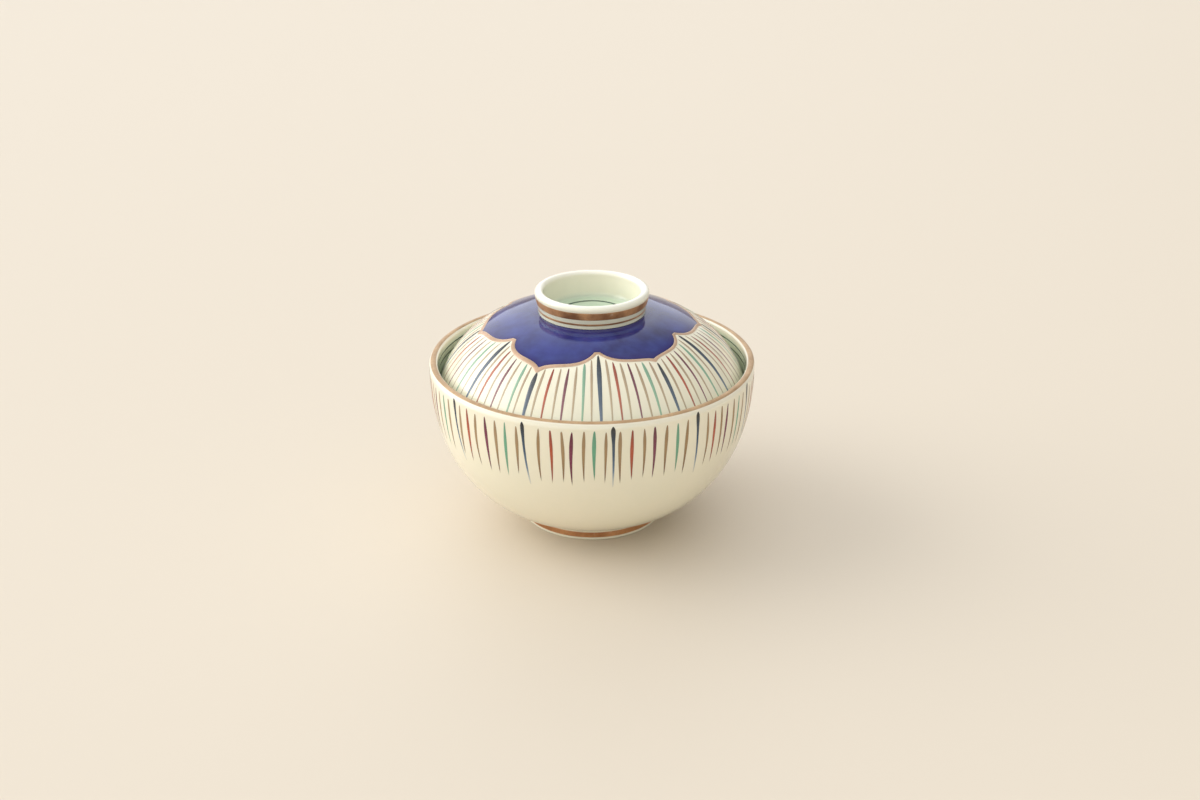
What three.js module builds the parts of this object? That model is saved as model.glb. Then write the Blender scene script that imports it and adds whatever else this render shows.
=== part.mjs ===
// A lidded porcelain rice bowl.
//
// The bowl is a deep round cup on a short foot ring. The lid is a dome that drops inside the
// bowl's rim and rests on its tapering wall. The ring on top of the lid is its knob, and the
// foot that the lid stands on when it is turned over to hold food.
//
// Millimetres, +Z up. The origin is the centre of the bowl's foot, on the table.
import * as THREE from 'three';

// How finely the curves are cut.
const SEGMENTS = 60; // facets round each piece
const WALL_STEPS = 14; // up each wall of the bowl
const DOME_STEPS = 13; // up the lid
const EDGE_STEPS = 3; // round each small edge

// The bowl. Its walls are superellipses from their rims down to the axis.
const OUTER_WALL = { radius: 63.3, top: 66, depth: 65.2, exponent: 2.4 };
const INNER_WALL = { radius: 60.2, top: 66, depth: 58.5, exponent: 2.3 };
const BOWL_HEIGHT = 67.1;
const FOOT = {
  radius: 28.4,
  waist: 28, // radius just under the wall
  waistHeight: 3.8,
  innerRadius: 25,
  edge: 0.7, // rounding of the two edges that it stands on
  recess: 3, // height of the hollow inside the ring
  fillet: 1.3, // bevel between that hollow and the ring
};

// The lid.
const SEAT_HEIGHT = 57.9; // where its edge rests on the bowl's inner wall
const SEAT_GAP = 0.3; // clearance left between the two there
const LID_THICKNESS = 3.5;
const CROWN_THICKNESS = 3; // under the knob's recess
const EDGE_ROUND = 1.3;
const KNOB = {
  lipRadius: 22,
  waist: 20.6,
  waistHeight: 86.9,
  top: 94.8,
  lip: 1.4, // rounding of the lip's outer edge
  land: 1, // width of the flat on the lip
  boreTop: 18.7,
  boreBottom: 17.4,
  floor: 84.9,
  fillet: 1.8, // rounding between bore and floor
};
const DISH = 0.3; // how far the hollows in the foot and the knob deepen towards their middles

// The dome from just above its seated edge to the knob's root: [radius, height].
const DOME = [
  [57.5, 63.1],
  [54.6, 67.6],
  [51, 72],
  [47, 75.6],
  [42, 79.1],
  [35.5, 82.2],
  [28, 84.5],
  [21.4, 85.6],
];
// The stretch of the dome that the underside follows, as shares of its length from the edge.
const UNDERSIDE = { outer: 0.03, inner: 0.94 };

const PORCELAIN = { color: 0xece5cd, roughness: 0.16, metalness: 0 };
const COBALT_AND_PORCELAIN = { color: 0xe3dfc9, roughness: 0.16, metalness: 0 };

function point(radius, height) {
  return new THREE.Vector2(radius, height);
}

// A round stretch of an outline, from one angle to another, in degrees from the +radius axis.
function arc(radiusAtCentre, heightAtCentre, arcRadius, fromAngle, toAngle) {
  const points = [];
  for (let step = 0; step <= EDGE_STEPS; step += 1) {
    const degrees = fromAngle + ((toAngle - fromAngle) * step) / EDGE_STEPS;
    const angle = THREE.MathUtils.degToRad(degrees);
    const radius = radiusAtCentre + arcRadius * Math.cos(angle);
    const height = heightAtCentre + arcRadius * Math.sin(angle);
    points.push(point(radius, height));
  }
  return points;
}

// A stretch of a superelliptic wall: angle 0 is its rim and angle 90 its bottom on the axis.
function wallStretch(wall, fromAngle, toAngle) {
  const power = 2 / wall.exponent;
  const points = [];
  for (let step = 0; step <= WALL_STEPS; step += 1) {
    const degrees = fromAngle + ((toAngle - fromAngle) * step) / WALL_STEPS;
    const angle = THREE.MathUtils.degToRad(degrees);
    const radius = wall.radius * Math.cos(angle) ** power;
    const height = wall.top - wall.depth * Math.sin(angle) ** power;
    points.push(point(radius, height));
  }
  return points;
}

// The radius of a wall at a given height.
function wallRadius(wall, height) {
  const fall = ((wall.top - height) / wall.depth) ** wall.exponent;
  return wall.radius * (1 - fall) ** (1 / wall.exponent);
}

// The angle at which a wall has a given radius.
function wallAngle(wall, radius) {
  const cosine = (radius / wall.radius) ** (wall.exponent / 2);
  return THREE.MathUtils.radToDeg(Math.acos(cosine));
}

// The half ellipse over a rim, from its outer side to its inner side.
function lipOver(outerWall, innerWall, topHeight) {
  const middle = (outerWall.radius + innerWall.radius) / 2;
  const halfWidth = (outerWall.radius - innerWall.radius) / 2;
  const rise = topHeight - outerWall.top;
  const points = [];
  for (let degrees = 30; degrees <= 150; degrees += 30) {
    const angle = THREE.MathUtils.degToRad(degrees);
    const height = outerWall.top + rise * Math.sin(angle);
    points.push(point(middle + halfWidth * Math.cos(angle), height));
  }
  return points;
}

// A curve moved inwards by a distance, from one share of its length to another.
function insideOf(curve, distance, fromShare, toShare) {
  const points = [];
  for (let step = 0; step <= DOME_STEPS; step += 1) {
    const share = fromShare + ((toShare - fromShare) * step) / DOME_STEPS;
    const tangent = curve.getTangentAt(share);
    const inwards = point(-tangent.y, tangent.x);
    points.push(curve.getPointAt(share).addScaledVector(inwards, distance));
  }
  return points;
}

// A closed solid of revolution about +Z from an outline of (radius, height) points.
function turned(name, outline, finish) {
  const geometry = new THREE.LatheGeometry(outline, SEGMENTS);
  geometry.rotateX(Math.PI / 2);
  const mesh = new THREE.Mesh(geometry, new THREE.MeshStandardMaterial(finish));
  mesh.name = name;
  return mesh;
}

// The bowl, from the underside of its floor, round the foot ring and up the outer wall, over
// the lip, and down the inner wall to the middle of the floor.
function bowlOutline() {
  const { radius, waist, waistHeight, innerRadius, edge, recess, fillet } = FOOT;
  const wallFoot = wallAngle(OUTER_WALL, (radius + waist) / 2);
  const foot = [
    point(0, recess + DISH),
    point(innerRadius - fillet, recess),
    point(innerRadius, recess - fillet),
    ...arc(innerRadius + edge, edge, edge, 180, 270),
    ...arc(radius - edge, edge, edge, 270, 360),
    point(waist, waistHeight),
  ];
  const outside = wallStretch(OUTER_WALL, wallFoot, 0);
  const lip = lipOver(OUTER_WALL, INNER_WALL, BOWL_HEIGHT);
  const inside = wallStretch(INNER_WALL, 0, 90);
  inside.at(-1).x = 0;
  return [...foot, ...outside, ...lip, ...inside];
}

// The lid, from the middle of its underside, out to its rounded edge, up the dome to the
// knob, over the knob's lip, and down into the recess on its top.
function lidOutline() {
  const { lipRadius, waist, waistHeight, top, lip, land, boreTop, boreBottom, floor, fillet } = KNOB;
  const seatRadius = wallRadius(INNER_WALL, SEAT_HEIGHT) - SEAT_GAP;
  const domePoints = [[seatRadius, SEAT_HEIGHT], ...DOME];
  const dome = new THREE.SplineCurve(domePoints.map(([radius, height]) => point(radius, height)));
  const landInner = lipRadius - lip - land;
  const landRound = landInner - boreTop;
  return [
    point(0, floor - DISH - CROWN_THICKNESS),
    ...insideOf(dome, LID_THICKNESS, UNDERSIDE.inner, UNDERSIDE.outer),
    ...arc(seatRadius - EDGE_ROUND, SEAT_HEIGHT, EDGE_ROUND, -150, -30),
    ...dome.getSpacedPoints(DOME_STEPS),
    point(waist, waistHeight),
    ...arc(lipRadius - lip, top - lip, lip, 0, 90),
    ...arc(landInner, top - landRound, landRound, 90, 180),
    ...arc(boreBottom - fillet, floor + fillet, fillet, 0, -90),
    point(0, floor - DISH),
  ];
}

const riceBowl = new THREE.Group();
riceBowl.add(turned('bowl', bowlOutline(), PORCELAIN));
riceBowl.add(turned('lid', lidOutline(), COBALT_AND_PORCELAIN));

export default riceBowl;
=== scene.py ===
"""A lidded porcelain rice bowl, painted by hand: cobalt petals on the lid, gilt bands, and
strokes of coloured enamel round the lid and the bowl.

Both pieces are turned about +Z. Each is a fine solid of revolution in the CAD model's place,
and the painting lies on it as thin raised solids of its own, as overglaze enamel does.
Sizes are in metres. Azimuths are in degrees, 0 towards the viewer (-Y) and 90 towards +X.
"""
import math
import random

import bmesh
import bpy
import numpy as np
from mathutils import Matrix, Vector


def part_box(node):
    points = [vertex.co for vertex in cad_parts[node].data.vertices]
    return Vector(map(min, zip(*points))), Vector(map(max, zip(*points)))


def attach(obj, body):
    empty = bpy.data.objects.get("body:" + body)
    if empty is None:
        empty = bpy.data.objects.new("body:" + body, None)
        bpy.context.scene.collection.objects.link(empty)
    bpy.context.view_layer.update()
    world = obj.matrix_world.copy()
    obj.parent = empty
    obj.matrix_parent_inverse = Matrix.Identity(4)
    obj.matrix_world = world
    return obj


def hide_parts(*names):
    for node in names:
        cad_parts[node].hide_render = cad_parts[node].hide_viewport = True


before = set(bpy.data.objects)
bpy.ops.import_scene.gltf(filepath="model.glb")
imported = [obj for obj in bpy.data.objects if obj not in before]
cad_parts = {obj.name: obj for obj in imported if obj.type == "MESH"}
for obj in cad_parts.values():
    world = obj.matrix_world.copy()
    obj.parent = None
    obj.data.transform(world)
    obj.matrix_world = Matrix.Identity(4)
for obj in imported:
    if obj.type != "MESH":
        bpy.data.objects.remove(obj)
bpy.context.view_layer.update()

MM = 0.001
BOWL_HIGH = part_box("bowl")[1]
LID_LOW, LID_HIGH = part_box("lid")
SEGMENTS = 256


# ---------------------------------------------------------------------------------------
# Outlines in the (radius, height) plane
# ---------------------------------------------------------------------------------------

class Profile:
    """A stretch of an outline, walked by its length. Its outer side is to the right."""

    def __init__(self, points):
        self.points = np.array(points, float)
        steps = np.linalg.norm(np.diff(self.points, axis=0), axis=1)
        self.lengths = np.concatenate([[0.0], np.cumsum(steps)])
        self.length = self.lengths[-1]
        tangents = np.gradient(self.points, axis=0)
        tangents /= np.linalg.norm(tangents, axis=1)[:, None]
        self.normals = np.stack([tangents[:, 1], -tangents[:, 0]], axis=1)

    def _mix(self, values, place):
        return np.interp(place, self.lengths, values)

    def at(self, place, lift=0.0):
        """The radius and height at a length along the outline, raised off it by lift."""
        radius = self._mix(self.points[:, 0], place) + lift * self._mix(self.normals[:, 0], place)
        height = self._mix(self.points[:, 1], place) + lift * self._mix(self.normals[:, 1], place)
        return radius, height

    def on(self, place, azimuth, lift=0.0):
        """The point in space at that length and at an azimuth in degrees."""
        radius, height = self.at(place, lift)
        turn = math.radians(azimuth)
        return (radius * math.sin(turn), -radius * math.cos(turn), height)

    def at_height(self, height):
        order = np.argsort(self.points[:, 1])
        return float(np.interp(height, self.points[order, 1], self.lengths[order]))

    def at_radius(self, radius):
        order = np.argsort(self.points[:, 0])
        return float(np.interp(radius, self.points[order, 0], self.lengths[order]))


def superellipse(rim_radius, rim_height, depth, exponent, from_radius, steps=90):
    """A bowl's wall from a radius low on it up to its rim."""
    power = 2 / exponent
    lowest = math.acos((from_radius / rim_radius) ** (exponent / 2))
    points = []
    for angle in np.linspace(lowest, 0, steps):
        radius = rim_radius * abs(math.cos(angle)) ** power
        points.append((radius, rim_height - depth * math.sin(angle) ** power))
    return points


FILLET_STEPS = 7


def rounded(corners):
    """A line through (radius, height, rounding) corners, each rounded over that distance."""
    points = [corners[0][:2]]
    for before, corner, after in zip(corners, corners[1:], corners[2:]):
        middle = Vector(corner[:2])
        start = middle + (Vector(before[:2]) - middle).normalized() * corner[2]
        end = middle + (Vector(after[:2]) - middle).normalized() * corner[2]
        for t in np.linspace(0, 1, FILLET_STEPS):
            points.append(tuple(start * (1 - t) ** 2 + middle * 2 * t * (1 - t) + end * t ** 2))
    points.append(corners[-1][:2])
    return points


def spline(knots, steps=12):
    """A smooth curve through (radius, height) knots, a Catmull-Rom spline."""
    ends = [2 * Vector(knots[0]) - Vector(knots[1]), 2 * Vector(knots[-1]) - Vector(knots[-2])]
    control = [ends[0], *[Vector(k) for k in knots], ends[1]]
    points = []
    for a, b, c, d in zip(control, control[1:], control[2:], control[3:]):
        for t in np.linspace(0, 1, steps, endpoint=False):
            point = 0.5 * (2 * b + (c - a) * t + (2 * a - 5 * b + 4 * c - d) * t ** 2
                           + (3 * b - a - 3 * c + d) * t ** 3)
            points.append(tuple(point))
    points.append(tuple(control[-2]))
    return points


def half_ellipse(centre, base, half_width, rise, steps=26):
    """A rounded rim, from its outer side over the top to its inner side."""
    turns = np.linspace(0, math.pi, steps)
    return [(centre + half_width * math.cos(t), base + rise * math.sin(t)) for t in turns]


def scaled(points):
    """Millimetres to metres, keeping whatever number of values each point has."""
    return [tuple(value * MM for value in point) for point in points]


# The bowl, from under its floor round the foot, up the outside, over the lip and down inside.
RIM_RADIUS = BOWL_HIGH.x
RIM_TOP = BOWL_HIGH.z
LIP_RISE = 1.1 * MM
LIP_WIDTH = 3.1 * MM
WALL_TOP = RIM_TOP - LIP_RISE
WALL_FOOT = 30.0 * MM  # radius at which the outer wall meets the foot's fillet
OUTER_LINE = superellipse(RIM_RADIUS, WALL_TOP, 65.2 * MM, 2.4, WALL_FOOT)
INNER_LINE = superellipse(RIM_RADIUS - LIP_WIDTH, WALL_TOP, 58.5 * MM, 2.3, 0.0)[::-1]
LIP_LINE = half_ellipse(RIM_RADIUS - LIP_WIDTH / 2, WALL_TOP, LIP_WIDTH / 2, LIP_RISE)
UNDER_FOOT_LINE = rounded(scaled([
    (0, 3.3, 0), (24.0, 3.0, 1.3), (25.1, 0.9, 0.8), (25.6, 0.05, 0.5), (26.7, 0.05, 0),
]))
FOOT_SIDE_LINE = rounded([
    *scaled([(26.7, 0.05, 0), (28.4, 0.05, 0.6), (28.0, 4.7, 0.7)]), (*OUTER_LINE[0], 0),
])

# The lid, from under its middle out to its edge, up the dome and knob, and into the recess.
LID_EDGE = LID_HIGH.x / MM
EDGE_ROUND = 1.3
SEAT = LID_LOW.z / MM + EDGE_ROUND
LID_THICKNESS = 3.5 * MM
DOME_LINE = scaled(spline([
    (LID_EDGE, SEAT), (57.5, 63.1), (54.6, 67.6), (51, 72), (47, 75.6), (42, 79.1),
    (35.5, 82.2), (28, 84.5), (21.2, 85.6),
]))
EDGE_LINE = scaled([
    (LID_EDGE - EDGE_ROUND + EDGE_ROUND * math.cos(turn), SEAT + EDGE_ROUND * math.sin(turn))
    for turn in np.linspace(-0.95 * math.pi, 0, 12)[:-1]
])
KNOB_SIDE_LINE = rounded(scaled([
    (21.2, 85.6, 0), (20.6, 85.65, 0.25), (20.75, 87.4, 0.6), (21.9, 92.2, 0.8), (22.05, 93.2, 0),
]))
KNOB_LIP_LINE = half_ellipse(20.35 * MM, 93.2 * MM, 1.7 * MM, LID_HIGH.z - 93.2 * MM)
RECESS_LINE = rounded(scaled([
    (18.65, 93.2, 0), (18.5, 92.0, 0.7), (17.3, 86.2, 1.0), (16.3, 84.95, 0.9),
    (14.0, 84.85, 0.6), (0, 84.6, 0),
]))


def underside():
    """The inside of the lid: the dome moved inwards by its thickness, flat in the middle."""
    dome = Profile(DOME_LINE)
    return [(0.0, 81.6 * MM)] + [
        dome.at(place, -LID_THICKNESS)
        for place in np.linspace(dome.length * 0.95, dome.length * 0.07, 60)
    ]


UNDER_LINE = underside()

FOOT_SIDE = Profile(FOOT_SIDE_LINE)
OUTER = Profile(OUTER_LINE)
LIP = Profile(LIP_LINE)
INNER = Profile(INNER_LINE)
DOME = Profile(DOME_LINE)
KNOB_SIDE = Profile(KNOB_SIDE_LINE)
RECESS = Profile(RECESS_LINE)


# ---------------------------------------------------------------------------------------
# Mesh building
# ---------------------------------------------------------------------------------------

TUCK = 0.04 * MM  # how far painted solids reach into the glaze they lie on


def make_object(name, vertices, faces, body, material, attributes):
    """A closed, smooth mesh riding on a CAD body, with a value per vertex for each attribute."""
    mesh = bpy.data.meshes.new(name)
    mesh.from_pydata(vertices, [], faces)
    for key, values in attributes.items():
        layer = mesh.attributes.new(key, "FLOAT", "POINT")
        layer.data.foreach_set("value", np.array(values, np.float32))
    work = bmesh.new()
    work.from_mesh(mesh)
    bmesh.ops.recalc_face_normals(work, faces=work.faces)
    for face in work.faces:
        face.smooth = True
    work.to_mesh(mesh)
    work.free()
    piece = bpy.data.objects.new(name, mesh)
    bpy.context.scene.collection.objects.link(piece)
    mesh.materials.append(material)
    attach(piece, body)
    return piece


def turned(name, outline, body, material, attributes):
    """A solid of revolution whose outline starts and ends on the axis."""
    ring_points = outline[1:-1]
    vertices = []
    for radius, height in ring_points:
        for step in range(SEGMENTS):
            turn = 2 * math.pi * step / SEGMENTS
            vertices.append((radius * math.sin(turn), -radius * math.cos(turn), height))
    faces = []
    for ring in range(len(ring_points) - 1):
        low = ring * SEGMENTS
        high = low + SEGMENTS
        for step in range(SEGMENTS):
            after = (step + 1) % SEGMENTS
            faces.append((low + step, low + after, high + after, high + step))
    for end, ring in ((outline[0], 0), (outline[-1], len(ring_points) - 1)):
        pole = len(vertices)
        vertices.append((0.0, 0.0, end[1]))
        for step in range(SEGMENTS):
            after = (step + 1) % SEGMENTS
            faces.append((pole, ring * SEGMENTS + step, ring * SEGMENTS + after))
    spread = {}
    for key, values in attributes.items():
        spread[key] = [value for value in values[1:-1] for _ in range(SEGMENTS)]
        spread[key] += [values[0], values[-1]]
    return make_object(name, vertices, faces, body, material, spread)


def swept(sections, closed):
    """Vertices and faces of a solid swept through closed sections."""
    count = len(sections[0])
    vertices = [point for section in sections for point in section]
    faces = []
    spans = len(sections) if closed else len(sections) - 1
    for span in range(spans):
        low = span * count
        high = ((span + 1) % len(sections)) * count
        for step in range(count):
            after = (step + 1) % count
            faces.append((low + step, low + after, high + after, high + step))
    if not closed:
        faces.append(tuple(range(count)))
        faces.append(tuple(range(len(vertices) - count, len(vertices))))
    return vertices, faces


def painted_ring(name, profile, start, end, body, slot, material, lift=0.05 * MM, columns=8,
                 rows=720, crown=0.5):
    """A film painted round a surface, between two lengths that are functions of azimuth.

    It stands lift high in the middle. A small crown gives it a flat top and steep sides, and
    a crown of one half a round section. The attribute edge is the distance to the nearer of its
    two edges, in millimetres.
    """
    shares = [0.5 - 0.5 * math.cos(math.pi * column / columns) for column in range(columns + 1)]
    upper = [(share, lift * (4 * share * (1 - share)) ** crown) for share in shares[1:-1]]
    rim = [(0.0, -TUCK), *upper, (1.0, -TUCK)]
    lower = [(share, -TUCK) for share in reversed(shares[1:-1])]
    sections = []
    edge = []
    for row in range(rows):
        azimuth = 360 * row / rows
        first = start(azimuth)
        width = end(azimuth) - first
        section = []
        for share, height in [*rim, *lower]:
            section.append(profile.on(first + width * share, azimuth, height))
            edge.append(abs(width) * min(share, 1 - share) / MM)
        sections.append(section)
    vertices, faces = swept(sections, closed=True)
    return make_object(name, vertices, faces, body, material, {"edge": edge})


class Strokes:
    """Brush strokes of one colour, gathered into one mesh."""

    ROWS = 26
    SIDES = (-1.0, -0.86, -0.5, 0.0, 0.5, 0.86, 1.0)
    FULL_LIFT = 0.09 * MM
    FULL_WIDTH = 0.6 * MM  # half a stroke's width where its enamel stands at full height

    def __init__(self):
        self.vertices = []
        self.faces = []
        self.attributes = {"along": [], "across": [], "load": []}

    def add(self, profile, top, bottom, azimuth_at, half_width_at, thinner, spent, worn):
        """One stroke between two lengths. The functions take 0 at its head to 1 at its tail.

        thinner is how thinly its whole length is laid on, and worn how much more so its tail is.
        spent is how far along its run of colours it gets.
        """
        sections = []
        for row in range(self.ROWS + 1):
            share = (row / self.ROWS) ** 1.15
            place = top + (bottom - top) * share
            radius, _ = profile.at(place)
            half_width = half_width_at(share)
            centre = azimuth_at(share)
            lift = self.FULL_LIFT * min(1.0, half_width / self.FULL_WIDTH)
            section = []
            for side in self.SIDES:
                azimuth = centre + math.degrees(side * half_width / radius)
                height = lift * math.sqrt(1 - side ** 2) if abs(side) < 1 else -TUCK
                section.append(profile.on(place, azimuth, height))
            section.append(profile.on(place, centre, -TUCK))
            sections.append(section)
            self.attributes["along"] += [share * spent] * len(section)
            self.attributes["across"] += [abs(side) for side in self.SIDES] + [0.0]
            self.attributes["load"] += [thinner + worn * share] * len(section)
        vertices, faces = swept(sections, closed=False)
        base = len(self.vertices)
        self.vertices += vertices
        self.faces += [tuple(base + index for index in face) for face in faces]

    def finish(self, name, body, slot, material):
        return make_object(name, self.vertices, self.faces, body, material, self.attributes)


# ---------------------------------------------------------------------------------------
# Materials
# ---------------------------------------------------------------------------------------

def srgb(red, green, blue):
    """A linear colour from display values of 0 to 255."""
    def linear(value):
        share = value / 255
        return share / 12.92 if share <= 0.04045 else ((share + 0.055) / 1.055) ** 2.4
    return (linear(red), linear(green), linear(blue), 1.0)


class Shader:
    """A material being wired: short calls that add a node and join its inputs."""

    def __init__(self, name):
        self.material = bpy.data.materials.new(name)
        self.material.use_nodes = True
        self.tree = self.material.node_tree
        self.surface = self.tree.nodes["Principled BSDF"]

    def node(self, kind, inputs, output=0, **settings):
        node = self.tree.nodes.new(kind)
        for key, value in settings.items():
            setattr(node, key, value)
        for key, value in inputs.items():
            self.join(value, node.inputs[key])
        return node.outputs[output]

    def join(self, value, socket):
        if isinstance(value, bpy.types.NodeSocket):
            self.tree.links.new(value, socket)
        else:
            socket.default_value = value

    def attribute(self, name):
        return self.node("ShaderNodeAttribute", {}, output="Fac", attribute_name=name)

    def noise(self, scale, detail=2.0):
        place = self.node("ShaderNodeTexCoord", {}, output="Object")
        inputs = {"Vector": place, "Scale": scale, "Detail": detail}
        return self.node("ShaderNodeTexNoise", inputs, output="Fac")

    def math(self, operation, first, second=0.0, third=0.0, clamp=False):
        inputs = {0: first, 1: second, 2: third}
        return self.node("ShaderNodeMath", inputs, operation=operation, use_clamp=clamp)

    def spread(self, value, low, high, to_low=0.0, to_high=1.0):
        inputs = {"Value": value, "From Min": low, "From Max": high,
                  "To Min": to_low, "To Max": to_high}
        return self.node("ShaderNodeMapRange", inputs)

    def mix(self, share, first, second):
        inputs = {"Factor": share, 6: first, 7: second}
        return self.node("ShaderNodeMix", inputs, output=2, data_type="RGBA")

    def bump(self, height, distance):
        return self.node("ShaderNodeBump", {"Height": height, "Distance": distance})

    def finish(self, **inputs):
        for key, value in inputs.items():
            self.join(value, self.surface.inputs[key.replace("_", " ")])
        return self.material


IVORY = srgb(240, 233, 210)
CELADON = srgb(186, 207, 181)
# Whiter glaze where it thins over an edge; on the lips it also stands for a painted highlight.
THIN_GLAZE_AND_HIGHLIGHT = srgb(249, 245, 234)


def celadon_glaze():
    """Clear ivory glaze: greener where it lies thick, whiter where it thins over an edge. The greener
    mix is also painted shade, inside the bowl below its rim and down in the knob's recess; the whiter
    mix is also a painted highlight on the lips.
    """
    shader = Shader("celadon_glaze")
    drift = shader.spread(shader.noise(24.0), 0.35, 0.7, 0.0, 0.1)
    mottle = shader.spread(shader.noise(300.0, 4.0), 0.4, 0.75, 0.0, 0.03)
    depth = shader.math("ADD", shader.attribute("pool_and_shade"), drift)
    depth = shader.math("ADD", depth, mottle, clamp=True)
    body = shader.mix(depth, IVORY, CELADON)
    return shader.finish(
        Base_Color=shader.mix(shader.attribute("thin"), body, THIN_GLAZE_AND_HIGHLIGHT),
        Roughness=shader.spread(shader.noise(160.0), 0.3, 0.7, 0.1, 0.15),
        Normal=shader.bump(shader.noise(70.0, 1.0), 0.03 * MM),
        Subsurface_Weight=0.1,
        Subsurface_Radius=(0.9, 0.8, 0.55),
        Subsurface_Scale=1.5 * MM,
    )


def cobalt_glaze():
    """Deep blue washed on by brush: cloudy, darker where it pools, and nearly black at its edge.
    Along the knob's root that near-black edge is a painted shadow in the crease where the knob meets
    the dome.
    """
    shader = Shader("cobalt_glaze")
    cloud = shader.spread(shader.noise(75.0, 4.0), 0.35, 0.7)
    wash = shader.spread(shader.noise(240.0, 5.0), 0.42, 0.75, 0.0, 0.4)
    pooled = shader.spread(shader.attribute("edge"), 0.3, 3.2, 0.95, 0.0)
    blue = shader.mix(cloud, srgb(50, 58, 130), srgb(28, 29, 86))
    # Near-black along both edges: pooled enamel at the petals' edge, and a painted shadow line at the
    # knob's root.
    dark_edge_and_root_shadow = shader.spread(shader.attribute("edge"), 0.25, 0.8, 0.6, 0.0)
    blue = shader.mix(wash, blue, srgb(58, 74, 138))
    blue = shader.mix(pooled, blue, srgb(34, 24, 98))
    return shader.finish(
        Base_Color=shader.mix(dark_edge_and_root_shadow, blue, srgb(20, 18, 40)),
        Roughness=shader.spread(shader.noise(150.0), 0.3, 0.7, 0.05, 0.09),
        Normal=shader.bump(shader.noise(90.0, 1.0), 0.04 * MM),
    )


def gold_enamel(name, pale, deep):
    """Matte gilding laid on by brush: streaked, and worn a little to the glaze under it."""
    shader = Shader(name)
    grain = shader.spread(shader.noise(1500.0, 4.0), 0.35, 0.7)
    load = shader.spread(shader.noise(130.0, 3.0), 0.35, 0.68)
    tone = shader.mix(load, pale, deep)
    tone = shader.mix(shader.math("MULTIPLY", grain, 0.2), tone, srgb(120, 84, 52))
    worn = shader.spread(shader.noise(420.0, 5.0), 0.66, 0.78, 0.0, 0.45)
    thin_edge = shader.spread(shader.attribute("edge"), 0.05, 0.3, 0.35, 0.0)
    return shader.finish(
        Base_Color=shader.mix(shader.math("MAXIMUM", worn, thin_edge), tone, IVORY),
        Metallic=0.2,
        Roughness=shader.spread(grain, 0.0, 1.0, 0.38, 0.5),
        Normal=shader.bump(shader.noise(1100.0, 3.0), 0.01 * MM),
    )


def stroke_enamel(name, head, middle, tail, fade):
    """Brushed enamel, from head to tail. It thins at its sides, and its tail dies into the glaze."""
    shader = Shader(name)
    along = shader.attribute("along")
    across = shader.attribute("across")
    streak = shader.spread(shader.noise(850.0, 3.0), 0.32, 0.7)
    tone = shader.mix(shader.spread(along, 0.04, 0.4), head, middle)
    tone = shader.mix(shader.spread(along, 0.45, 0.95), tone, tail)
    thinner = shader.math("MULTIPLY_ADD", streak, 0.03, shader.attribute("load"), clamp=True)
    soft_side = shader.spread(across, 0.8, 1.0, 0.0, 0.4)
    soft_tail = shader.spread(along, 1 - fade, 1.0, 0.0, 0.8)
    bare = shader.math("MAXIMUM", shader.math("MAXIMUM", soft_side, soft_tail), thinner)
    return shader.finish(
        Base_Color=shader.mix(bare, tone, IVORY),
        Roughness=shader.spread(streak, 0.0, 1.0, 0.14, 0.24),
        Normal=shader.bump(streak, 0.006 * MM),
    )


def line_enamel():
    """The thin dark lines drawn inside the bowl and in the knob's recess."""
    shader = Shader("line_enamel")
    load = shader.spread(shader.noise(240.0, 3.0), 0.35, 0.7)
    tone = shader.mix(load, srgb(42, 66, 58), srgb(78, 102, 90))
    soft = shader.spread(shader.attribute("edge"), 0.02, 0.14, 0.6, 0.0)
    return shader.finish(
        Base_Color=shader.mix(soft, tone, CELADON),
        Roughness=0.14,
    )


def bare_porcelain():
    """Unglazed clay: the narrow ring that the bowl was fired on and stands on."""
    shader = Shader("bare_porcelain")
    grit = shader.noise(2600.0, 4.0)
    stain = shader.spread(shader.noise(90.0, 3.0), 0.45, 0.7)
    return shader.finish(
        Base_Color=shader.mix(stain, srgb(238, 233, 222), srgb(214, 203, 184)),
        Roughness=shader.spread(grit, 0.3, 0.7, 0.6, 0.8),
        Normal=shader.bump(grit, 0.02 * MM),
    )


GLAZE = celadon_glaze()
COBALT = cobalt_glaze()
GOLD = gold_enamel("gold_enamel", srgb(208, 174, 146), srgb(184, 150, 120))
LIP_GOLD = gold_enamel("lip_gold_enamel", srgb(196, 162, 122), srgb(170, 137, 98))
FOOT_GOLD = gold_enamel("foot_gold_enamel", srgb(206, 148, 98), srgb(172, 112, 66))
KNOB_GOLD = gold_enamel("knob_gold_enamel", srgb(208, 158, 108), srgb(132, 90, 54))
LINES = line_enamel()
BARE = bare_porcelain()
ENAMELS = {
    "navy": stroke_enamel(
        "navy_enamel", srgb(12, 18, 26), srgb(44, 72, 100), srgb(128, 152, 178), fade=0.3),
    "tan": stroke_enamel(
        "tan_enamel", srgb(150, 122, 88), srgb(158, 128, 88), srgb(112, 82, 54), fade=0.1),
    "red": stroke_enamel(
        "red_enamel", srgb(134, 46, 26), srgb(172, 67, 31), srgb(126, 54, 34), fade=0.1),
    "purple": stroke_enamel(
        "purple_enamel", srgb(92, 22, 46), srgb(116, 36, 70), srgb(96, 38, 54), fade=0.1),
    "green": stroke_enamel(
        "green_enamel", srgb(98, 150, 122), srgb(100, 162, 130), srgb(100, 148, 120), fade=0.12),
}


# ---------------------------------------------------------------------------------------
# The two porcelain bodies
# ---------------------------------------------------------------------------------------

def near(value, target, reach):
    """1 at a target value, falling smoothly to 0 at a reach away from it."""
    return max(0.0, 1 - abs(value - target) / reach) ** 2


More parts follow.
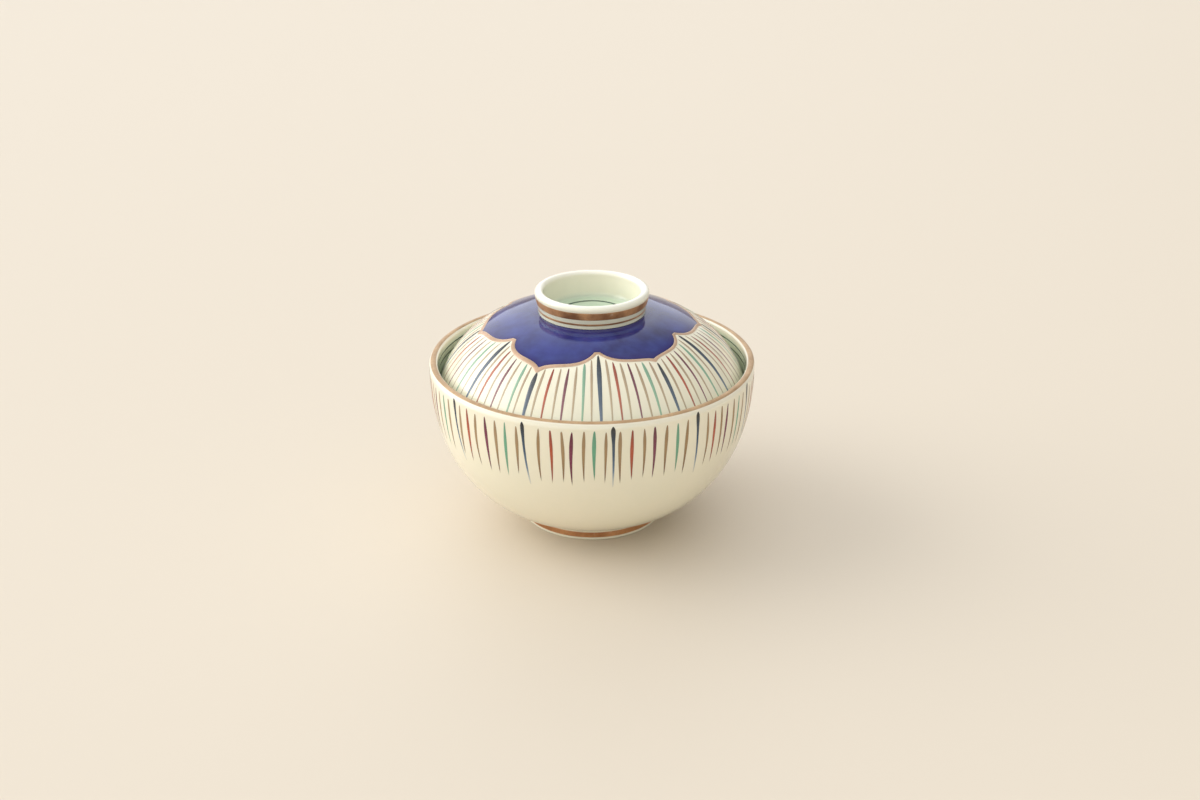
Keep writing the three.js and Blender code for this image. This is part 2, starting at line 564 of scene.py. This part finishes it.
def build_bowl():
    outside = [*UNDER_FOOT_LINE, *FOOT_SIDE_LINE[1:], *OUTER_LINE, *LIP_LINE]
    outline = [*outside, *INNER_LINE[1:]]
    joint_height = FOOT_SIDE_LINE[-1][1]
    pool_and_shade = [0.4 * near(height, joint_height, 3 * MM) for radius, height in outside]
    # Inside, greener and darker from the rim down past the lid's edge, most at 8 mm deep: thicker
    # glaze, and painted shade in the gap under the lid.
    for radius, height in INNER_LINE[1:]:
        depth = RIM_TOP - height
        pool_and_shade.append(min(1.0, depth / (3 * MM)) * (0.2 + 0.55 * near(depth, 8 * MM, 20 * MM)))
    # Whiter over the lip: thinner glaze, and partly a painted highlight along the lip.
    thin = [0.45 * near(height, RIM_TOP, 2.5 * MM) for radius, height in outside]
    thin += [0.0] * (len(outline) - len(outside))
    shades = {"pool_and_shade": pool_and_shade, "thin": thin}
    bowl = turned("bowl_body", outline, "bowl", GLAZE, shades)
    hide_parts("bowl")


def build_lid():
    under = [*UNDER_LINE, *EDGE_LINE]
    outside = [*DOME_LINE, *KNOB_SIDE_LINE[1:], *KNOB_LIP_LINE[1:]]
    outline = [*under, *outside, *RECESS_LINE[1:]]
    root_radius = KNOB_SIDE_LINE[0][0]
    lip_height = LID_HIGH.z
    floor_height = RECESS_LINE[-1][1]
    pool_and_shade = [0.4] * len(under)
    pool_and_shade += [0.35 * near(radius, root_radius, 2.5 * MM) for radius, height in outside]
    # Greener and darker at the bottom of the knob's recess: thicker glaze, and painted shade in the
    # recess.
    pool_and_shade += [0.05 + 0.9 * near(height, floor_height, 4 * MM) for radius, height in RECESS_LINE[1:]]
    # Whiter at the knob's lip: thinner glaze, and partly a painted highlight on the lit top of the
    # knob.
    thin = [0.8 * near(height, lip_height, 3 * MM) for radius, height in outline]
    shades = {"pool_and_shade": pool_and_shade, "thin": thin}
    lid = turned("lid_body", outline, "lid", GLAZE, shades)
    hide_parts("lid")


# ---------------------------------------------------------------------------------------
# Bands and lines
# ---------------------------------------------------------------------------------------

def hand_drawn(place, wander, seed):
    """A length that wanders a little round the piece, as a hand-held brush does."""
    rng = random.Random(seed)
    waves = [(count, rng.uniform(0, 360), wander / math.sqrt(count)) for count in (1, 2, 3, 5, 8, 13)]

    def at(azimuth):
        return place + 0.5 * sum(
            size * math.sin(math.radians(count * azimuth + phase)) for count, phase, size in waves
        )
    return at


def band(name, profile, low, high, body, slot, material, seed, wander=0.05 * MM, **section):
    """A painted band between two lengths along a profile, with slightly wandering edges."""
    painted_ring(name, profile, hand_drawn(low, wander, seed), hand_drawn(high, wander, seed + 1),
                 body, slot, material, **section)


LIP_BAND = (0.175, 0.758)  # shares of the way over the lip, from outside
INNER_LINE_DEPTHS = (3.5 * MM, 6.0 * MM)  # below the rim
INNER_LINE_WIDTH = 0.6 * MM
FOOT_BAND = (1.1 * MM, 3.4 * MM)  # heights
KNOB_BANDS = (("knob_wide_band", 89.35 * MM, 92.6 * MM, 41),
              ("knob_narrow_band", 86.95 * MM, 87.9 * MM, 43))  # name, two heights, and seed
RECESS_LINE_RADIUS = 12.4 * MM
RECESS_LINE_WIDTH = 1.3 * MM
LINE_LIFT = 0.02 * MM


def build_bowl_bands():
    outer_edge, inner_edge = (share * LIP.length for share in LIP_BAND)
    band("bowl_lip_gilding", LIP, outer_edge, inner_edge, "bowl", "gold_enamel", LIP_GOLD,
         wander=0.1 * MM, seed=11)
    for number, depth in enumerate(INNER_LINE_DEPTHS):
        middle = INNER.at_height(RIM_TOP - depth)
        half = INNER_LINE_WIDTH / 2
        band(f"bowl_inner_line_{number + 1}", INNER, middle - half, middle + half, "bowl",
             "line_enamel", LINES, seed=21 + 2 * number, lift=LINE_LIFT)
    low, high = (FOOT_SIDE.at_height(height) for height in FOOT_BAND)
    band("bowl_foot_gilding", FOOT_SIDE, low, high, "bowl", "gold_enamel", FOOT_GOLD, seed=31)


def build_foot_land():
    """The bare ring under the foot, which stands just proud of the glaze."""
    inner, outer = 25.5 * MM, 27.9 * MM
    top = 0.3 * MM
    chamfer_height, chamfer = 0.08 * MM, 0.15 * MM
    section = [(inner, top), (inner, chamfer_height), (inner + chamfer, 0.0),
               (outer - chamfer, 0.0), (outer, chamfer_height), (outer, top)]
    sections = []
    for step in range(SEGMENTS):
        turn = 2 * math.pi * step / SEGMENTS
        sections.append([(r * math.sin(turn), -r * math.cos(turn), z) for r, z in section])
    vertices, faces = swept(sections, closed=True)
    make_object("bowl_foot_land", vertices, faces, "bowl", BARE, {})


def build_lid_bands():
    for name, low, high, seed in KNOB_BANDS:
        band(name, KNOB_SIDE, KNOB_SIDE.at_height(low), KNOB_SIDE.at_height(high), "lid",
             "gold_enamel", KNOB_GOLD, seed=seed)
    middle = RECESS.at_radius(RECESS_LINE_RADIUS)
    half = RECESS_LINE_WIDTH / 2
    band("knob_recess_line", RECESS, middle - half, middle + half, "lid", "line_enamel", LINES,
         seed=51, lift=LINE_LIFT)


# ---------------------------------------------------------------------------------------
# The cobalt flower on the lid
# ---------------------------------------------------------------------------------------

# Each petal's tip: azimuth, radius in mm, and how far its point reaches past its shoulders.
PETAL_TIPS = [(-26.2, 43.4, 2.0), (33.7, 40.9, 0.9), (92.0, 41.0, 1.3), (152.5, 42.2, 1.5),
              (212.5, 41.6, 1.2), (276.4, 42.5, 1.6)]
# The notch that follows each petal: azimuth, and radius in mm.
NOTCHES = [(3.4, 34.8), (61.8, 34.6), (124.3, 36.4), (183.0, 35.8), (242.3, 36.6), (306.3, 35.6)]
SHOULDER_FALL = 1.5  # how far a petal's edge falls back, in mm, before it drops to the notch
NOTCH_HALF_WIDTH = 1.6  # degrees
POINT_SHARPNESS = 0.14  # share of a petal's half width over which its point dies out
NOTCH_STEEPNESS = 5  # power by which the edge drops into a notch
OUTLINE_WIDTH = 1.3
OUTLINE_REACH = 2.4  # degrees on each side that are searched for the outline's outer edge
OUTLINE_STEPS = 16
POINT_THICKENING = 0.5  # how much wider, in mm, the outline is at a petal's point
POINT_REACH = 5.0  # degrees on each side of the point over which it thickens


def flower_radius(azimuth):
    """The radius, in mm, at which the cobalt ends and its gold outline begins."""
    first_notch = NOTCHES[-1][0] - 360
    azimuth = (azimuth - first_notch) % 360 + first_notch
    for index, (tip, tip_radius, point) in enumerate(PETAL_TIPS):
        before, notch_before = NOTCHES[index - 1]
        if index == 0:
            before -= 360
        after, notch_after = NOTCHES[index]
        if before <= azimuth < after:
            break
    side, notch_radius = (before, notch_before) if azimuth < tip else (after, notch_after)
    reach = abs(side - tip) - NOTCH_HALF_WIDTH
    share = min(1.0, abs(azimuth - tip) / reach)
    shoulder = tip_radius - point
    drop = shoulder - SHOULDER_FALL - notch_radius
    raised = point * math.exp(-share / POINT_SHARPNESS)
    return shoulder - SHOULDER_FALL * share + raised - drop * share ** NOTCH_STEEPNESS


def outline_radius(azimuth):
    """The outer radius of the gold outline: the flower's edge grown by the line's width."""
    best = 0.0
    for step in range(-OUTLINE_STEPS, OUTLINE_STEPS + 1):
        shift = OUTLINE_REACH * step / OUTLINE_STEPS
        radius = flower_radius(azimuth + shift)
        sideways = math.radians(shift) * radius
        if abs(sideways) < OUTLINE_WIDTH:
            best = max(best, radius + math.sqrt(OUTLINE_WIDTH ** 2 - sideways ** 2))
    apart = [(azimuth - tip + 180) % 360 - 180 for tip, _, _ in PETAL_TIPS]
    pointed = max(near(angle, 0.0, POINT_REACH) for angle in apart)
    return best + POINT_THICKENING * pointed


def build_flower():
    bed = Profile([*DOME_LINE, *KNOB_SIDE_LINE[1:FILLET_STEPS + 1]])
    root = bed.length - 0.1 * MM

    def cobalt_edge(azimuth):
        return bed.at_radius((flower_radius(azimuth) + 0.3) * MM)

    sway_inside = hand_drawn(0.0, 0.12 * MM, seed=61)
    sway_outside = hand_drawn(0.0, 0.3 * MM, seed=62)

    def line_inside(azimuth):
        return DOME.at_radius(flower_radius(azimuth) * MM) + sway_inside(azimuth)

    def line_outside(azimuth):
        return DOME.at_radius(outline_radius(azimuth) * MM) + sway_outside(azimuth)

    painted_ring("lid_cobalt", bed, cobalt_edge, lambda azimuth: root, "lid", "cobalt_glaze",
                 COBALT, lift=0.05 * MM, columns=24, rows=1080, crown=0.1)
    painted_ring("lid_flower_outline", DOME, line_outside, line_inside, "lid", "gold_enamel",
                 GOLD, lift=0.2 * MM, columns=8, rows=1440)


# ---------------------------------------------------------------------------------------
# Brush strokes
# ---------------------------------------------------------------------------------------

GROUPS = 12
GROUP_COLOURS = ("navy", "tan", "red", "tan", "purple", "tan", "green", "tan")
GROUP_PITCH = 360 / GROUPS
PITCH = GROUP_PITCH / len(GROUP_COLOURS)


def leaf_width(widest, head, peak, tail):
    """Half-widths of a stroke that swells from its head to its peak and runs out to its tail."""
    def at(share):
        if share < peak:
            width = head + (1 - head) * math.sin(math.pi / 2 * share / peak)
        else:
            width = 1 - (1 - tail) * ((share - peak) / (1 - peak)) ** 1.3
        round_ends = math.sqrt(min(1.0, (share + 0.004) / 0.03, (1.004 - share) / 0.05))
        return widest / 2 * width * round_ends
    return at


def drop_width(head, neck, tail):
    """Half-widths of a navy stroke: a loaded head, a neck, and a long thin tail."""
    def at(share):
        drop = (head - neck) * math.exp(-((share - 0.1) / 0.1) ** 2)
        body = neck + (tail - neck) * share
        round_ends = math.sqrt(min(1.0, (share + 0.003) / 0.05, (1.004 - share) / 0.05))
        return (drop + body) / 2 * round_ends
    return at


def leaning(azimuth, lean, bow):
    """A centre line that leans by some degrees from head to tail, and bows sideways."""
    def at(share):
        return azimuth + lean * share + bow * math.sin(math.pi * share)
    return at


# Azimuth of the navy stroke that starts the front group, on the bowl and on the lid.
BOWL_FIRST_NAVY = 7.2
LID_FIRST_NAVY = 3.8
# Heights of the strokes' ends on the bowl, in mm.
NAVY_TOP, NAVY_BOTTOM = 65.7, 40.2
OTHERS_TOP, OTHERS_BOTTOM = 63.8, 42.2
# How the groups in front differ from an even spacing, in degrees: the drift of their first and
# last stroke after the navy one, and how far the navy one leans.
BOWL_DRIFTS = {
    -2: (-0.9, 1.2, 2.2), -1: (1.9, 1.4, 1.5), 0: (-1.8, -0.2, 0.3), 1: (1.2, 0.0, 1.0),
}
# How far the navy strokes in front on the lid are off an even spacing, in degrees.
LID_NAVY_DRIFTS = {-2: 1.6, -1: 0.2, 0: -0.2, 1: 0.3, 2: -1.0}


def build_bowl_strokes():
    rng = random.Random(7)
    sets = {colour: Strokes() for colour in ENAMELS}
    for group in range(-GROUPS // 2, GROUPS // 2):
        guess = (rng.uniform(-1, 1), rng.uniform(-1, 1), rng.uniform(-1, 2))
        first_drift, last_drift, navy_lean = BOWL_DRIFTS.get(group, guess)
        for index, colour in enumerate(GROUP_COLOURS):
            azimuth = BOWL_FIRST_NAVY + group * GROUP_PITCH + index * PITCH
            azimuth += rng.uniform(-0.3, 0.3)
            if colour == "navy":
                top = NAVY_TOP + rng.uniform(-0.2, 0.2)
                bottom = NAVY_BOTTOM + rng.uniform(-1.2, 1.0)
                path = leaning(azimuth, navy_lean, rng.uniform(-0.15, 0.15))
                width = drop_width(rng.uniform(1.6, 2.1) * MM, 1.4 * MM, 0.5 * MM)
            else:
                share = (index - 1) / (len(GROUP_COLOURS) - 2)
                azimuth += first_drift + (last_drift - first_drift) * share
                top = OTHERS_TOP + rng.uniform(-0.5, 0.4)
                bottom = OTHERS_BOTTOM + rng.uniform(-1.4, 1.3)
                path = leaning(azimuth, rng.uniform(-0.4, 0.4), rng.uniform(-0.35, 0.35))
                width = leaf_width(rng.uniform(1.25, 1.6) * MM, rng.uniform(0.3, 0.6),
                                   rng.uniform(0.22, 0.42), 0.16)
            sets[colour].add(OUTER, OUTER.at_height(top * MM), OUTER.at_height(bottom * MM), path,
                             width, rng.uniform(0.0, 0.04), spent=1.0, worn=0.0)
    for colour, strokes in sets.items():
        strokes.finish(f"bowl_{colour}_strokes", "bowl", f"{colour}_enamel", ENAMELS[colour])


# How each colour is brushed on the lid: its greatest width in mm, how thinly it's laid on, how
# far along its run of colours it gets, and how much more thinly it ends.
LID_BRUSHES = {
    "navy": (1.9, 0.0, 0.78, 0.1),
    "tan": (1.05, 0.08, 0.7, 0.3),
    "red": (1.15, 0.0, 0.9, 0.12),
    "purple": (1.15, 0.0, 0.7, 0.15),
    "green": (1.35, 0.04, 0.7, 0.25),
}


def build_lid_strokes():
    rng = random.Random(19)
    sets = {colour: Strokes() for colour in ENAMELS}
    for group in range(-GROUPS // 2, GROUPS // 2):
        before = LID_FIRST_NAVY + group * GROUP_PITCH + LID_NAVY_DRIFTS.get(group, 0.0)
        after = LID_FIRST_NAVY + (group + 1) * GROUP_PITCH + LID_NAVY_DRIFTS.get(group + 1, 0.0)
        for index, colour in enumerate(GROUP_COLOURS):
            azimuth = before + (after - before) * index / len(GROUP_COLOURS)
            azimuth += rng.uniform(-0.3, 0.3)
            head = outline_radius(azimuth) + rng.uniform(0.1, 0.6)
            path = leaning(azimuth, rng.uniform(-0.3, 0.3), rng.uniform(-0.3, 0.3))
            widest, thinner, spent, worn = LID_BRUSHES[colour]
            width = leaf_width(widest * rng.uniform(0.9, 1.1) * MM, rng.uniform(0.35, 0.6),
                               rng.uniform(0.15, 0.3), 0.32)
            tail = rng.uniform(0.4, 1.2) * MM
            sets[colour].add(DOME, DOME.at_radius(head * MM), tail, path, width,
                             thinner + rng.uniform(0.0, 0.04), spent, worn)
    for colour, strokes in sets.items():
        strokes.finish(f"lid_{colour}_strokes", "lid", f"{colour}_enamel", ENAMELS[colour])


# ---------------------------------------------------------------------------------------
# Floor, light and camera
# ---------------------------------------------------------------------------------------

FLOOR_RADIUS = 7.0
FLOOR_BEND = 1.0  # radius of the curve at its edge
FLOOR_HEIGHT = -0.05 * MM


def build_floor():
    """A pale floor that curves up far away, all round, so that no view runs off its edge."""
    sides = 96
    turns = [2 * math.pi * step / sides for step in range(sides)]
    vertices = []
    for lean in np.linspace(0, math.pi / 2, 10):
        radius = FLOOR_RADIUS + FLOOR_BEND * math.sin(lean)
        rise = FLOOR_HEIGHT + FLOOR_BEND * (1 - math.cos(lean))
        vertices += [(radius * math.cos(turn), radius * math.sin(turn), rise) for turn in turns]
    faces = [tuple(range(sides))]
    for low in range(0, len(vertices) - sides, sides):
        for step in range(sides):
            after = (step + 1) % sides
            faces.append((low + step, low + sides + step, low + sides + after, low + after))
    mesh = bpy.data.meshes.new("floor")
    mesh.from_pydata(vertices, [], faces)
    mesh.polygons.foreach_set("use_smooth", [False] + [True] * (len(faces) - 1))
    floor = bpy.data.objects.new("floor", mesh)
    bpy.context.scene.collection.objects.link(floor)
    mesh.materials.append(Shader("floor").finish(Base_Color=srgb(218, 206, 188), Roughness=0.6))


# What the white room adds to its even light: the direction it comes from, the cosine of the
# angle from there at which it begins, and its strength.
ROOM_LIGHT = 0.3
ROOM_GLOWS = (
    ((-0.25, 0.97, 0.1), 0.5, 1.45),  # the pale wall behind
    ((-0.2, -0.4, 0.85), 0.0, 0.85),  # the ceiling in front
    ((-0.9, 0.15, 0.4), 0.8, 3.7),  # the window, on the left
)


def build_lights():
    """A white room, lit softly from a window on the left and from the wall behind."""
    world = bpy.data.worlds.new("studio")
    world.use_nodes = True
    tree = world.node_tree
    direction = tree.nodes.new("ShaderNodeTexCoord").outputs["Generated"]
    background = tree.nodes["Background"]
    background.inputs["Color"].default_value = (0.98, 0.99, 1.0, 1.0)
    total = None
    for toward, begins, strength in ROOM_GLOWS:
        facing = tree.nodes.new("ShaderNodeVectorMath")
        facing.operation = "DOT_PRODUCT"
        facing.inputs[1].default_value = Vector(toward).normalized()
        glow = tree.nodes.new("ShaderNodeMapRange")
        glow.interpolation_type = "SMOOTHSTEP"
        glow.inputs["From Min"].default_value = begins
        glow.inputs["To Max"].default_value = strength
        added = tree.nodes.new("ShaderNodeMath")
        tree.links.new(direction, facing.inputs[0])
        tree.links.new(facing.outputs["Value"], glow.inputs["Value"])
        tree.links.new(glow.outputs["Result"], added.inputs[0])
        if total is None:
            added.inputs[1].default_value = ROOM_LIGHT
        else:
            tree.links.new(total, added.inputs[1])
        total = added.outputs["Value"]
    tree.links.new(total, background.inputs["Strength"])
    bpy.context.scene.world = world
    bpy.context.scene.view_settings.view_transform = "Standard"


EYE = (0.0031, -0.5185, 0.2833)
EYE_DROP = 24.45  # how far below level it looks, in degrees
FOCAL_LENGTH = 43.08  # mm, over a 36 mm wide frame


def build_camera():
    camera = bpy.data.cameras.new("camera")
    camera.sensor_width = 36.0
    camera.lens = FOCAL_LENGTH
    eye = bpy.data.objects.new("camera", camera)
    eye.location = EYE
    eye.rotation_euler = (math.radians(90 - EYE_DROP), 0, 0)
    bpy.context.scene.collection.objects.link(eye)
    bpy.context.scene.camera = eye


build_camera()
build_bowl()
build_foot_land()
build_bowl_bands()
build_bowl_strokes()
build_lid()
build_lid_bands()
build_flower()
build_lid_strokes()
build_floor()
build_lights()
